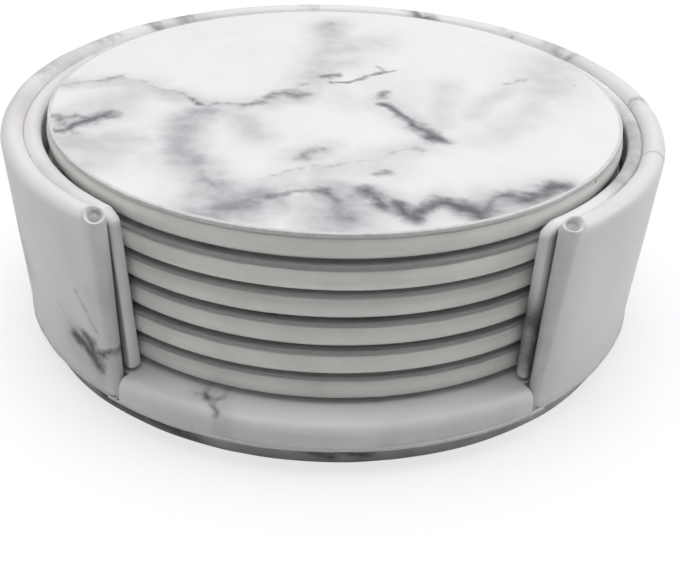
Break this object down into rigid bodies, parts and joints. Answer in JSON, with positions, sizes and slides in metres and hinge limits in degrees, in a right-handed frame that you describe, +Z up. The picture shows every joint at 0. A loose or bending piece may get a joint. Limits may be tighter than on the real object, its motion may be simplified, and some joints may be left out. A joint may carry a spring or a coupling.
{
  "type": "drink coaster set in holder",
  "caption": "Round leather-covered drink coasters stacked in an open-fronted C-shaped holder, each one lifting straight out.",
  "frame": {"origin": "centre of the foot's underside, on the surface the holder stands on", "axes": "+Z up along the stack; the holder's opening faces -Y"},
  "size_m": [0.1136, 0.1123, 0.0372],
  "materials": {
    "marble_leather": "smooth satin faux leather with a grey marble print",
    "marble_print": "smooth satin faux leather with a grey marble print, cut edge showing",
    "plain_leather": "smooth satin faux leather, plain light grey",
    "greyboard": "uncoated pressed board"
  },
  "bodies": {
    "holder": {"foot_board": "greyboard", "foot_cover": "marble_leather", "floor_board": "greyboard", "floor_cover": "marble_leather", "wall_board": "greyboard", "wall_cover": "marble_leather", "liner_board": "greyboard", "liner_cover": "marble_leather"},
    "coaster_1": {"coaster_1_board": "greyboard", "coaster_1_cover": "plain_leather", "coaster_1_print": "marble_print"},
    "coaster_2": {"coaster_2_board": "greyboard", "coaster_2_cover": "plain_leather", "coaster_2_print": "marble_print"},
    "coaster_3": {"coaster_3_board": "greyboard", "coaster_3_cover": "plain_leather", "coaster_3_print": "marble_print"},
    "coaster_4": {"coaster_4_board": "greyboard", "coaster_4_cover": "plain_leather", "coaster_4_print": "marble_print"},
    "coaster_5": {"coaster_5_board": "greyboard", "coaster_5_cover": "plain_leather", "coaster_5_print": "marble_print"},
    "coaster_6": {"coaster_6_board": "greyboard", "coaster_6_cover": "plain_leather", "coaster_6_print": "marble_print"}
  },
  "joints": [
    {"name": "coaster_1_lift", "type": "slide", "parent": "holder", "child": "coaster_1", "axis": [0, 0, 1], "range_m": [0, 0.04]},
    {"name": "coaster_2_lift", "type": "slide", "parent": "coaster_1", "child": "coaster_2", "axis": [0, 0, 1], "range_m": [0, 0.04]},
    {"name": "coaster_3_lift", "type": "slide", "parent": "coaster_2", "child": "coaster_3", "axis": [0, 0, 1], "range_m": [0, 0.04]},
    {"name": "coaster_4_lift", "type": "slide", "parent": "coaster_3", "child": "coaster_4", "axis": [0, 0, 1], "range_m": [0, 0.04]},
    {"name": "coaster_5_lift", "type": "slide", "parent": "coaster_4", "child": "coaster_5", "axis": [0, 0, 1], "range_m": [0, 0.04]},
    {"name": "coaster_6_lift", "type": "slide", "parent": "coaster_5", "child": "coaster_6", "axis": [0, 0, 1], "range_m": [0, 0.04]}
  ]
}
